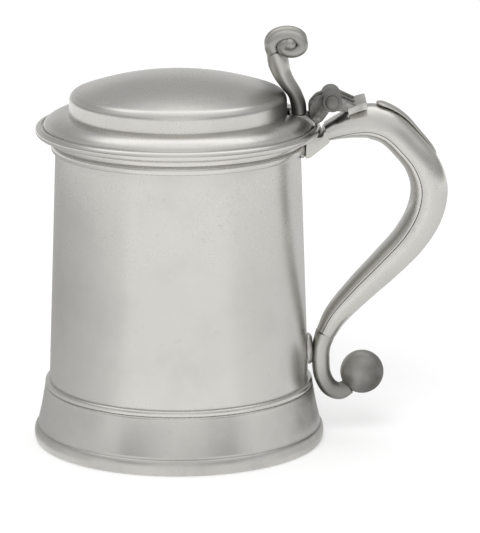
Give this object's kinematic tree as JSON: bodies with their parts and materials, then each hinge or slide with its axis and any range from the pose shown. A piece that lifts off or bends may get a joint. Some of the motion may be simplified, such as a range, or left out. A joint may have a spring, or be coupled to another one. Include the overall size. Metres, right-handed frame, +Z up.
{
  "type": "lidded tankard",
  "caption": "Lidded drinking tankard in white metal: tapered drum on a skirt foot, swan-neck handle with curled tail and ball, and a stepped domed lid that swings open by a scrolled thumbpiece.",
  "frame": {"origin": "on the table plane at the centre of the foot, with the middle of the base's underside just above it", "axes": "+Z up along the drum's axis, +X towards the handle, +Y along the hinge pin; the table is z = 0"},
  "size_m": [0.1745, 0.1228, 0.1763],
  "materials": {
    "bright_metal": null,
    "cast_metal": null
  },
  "bodies": {
    "vessel": {"drum": "bright_metal", "base_plate": "bright_metal", "foot_ring": "bright_metal", "foot_wire": "bright_metal", "lip_band": "bright_metal", "handle_upper_pad": "cast_metal", "handle_lower_pad": "cast_metal", "handle_root": "cast_metal", "handle_back": "bright_metal", "handle_strap": "bright_metal", "handle_tail": "cast_metal", "tail_ball": "cast_metal", "hinge_handle_leaf": "cast_metal", "hinge_drop": "cast_metal", "hinge_pin": "cast_metal", "pin_head_left": "cast_metal", "pin_head_right": "cast_metal"},
    "lid": {"lid_flange": "bright_metal", "lid_rim_wire": "bright_metal", "lid_moulding": "bright_metal", "lid_bezel": "bright_metal", "lid_crown": "bright_metal", "hinge_lid_leaf": "cast_metal", "thumb_stem": "cast_metal", "thumb_scroll_left": "cast_metal", "thumb_scroll_right": "cast_metal"}
  },
  "joints": [
    {"name": "lid_hinge", "type": "hinge", "parent": "vessel", "child": "lid", "pos_m": [0.064, 0, 0.1464], "axis": [0, 1, 0], "range_deg": [0, 108]}
  ]
}
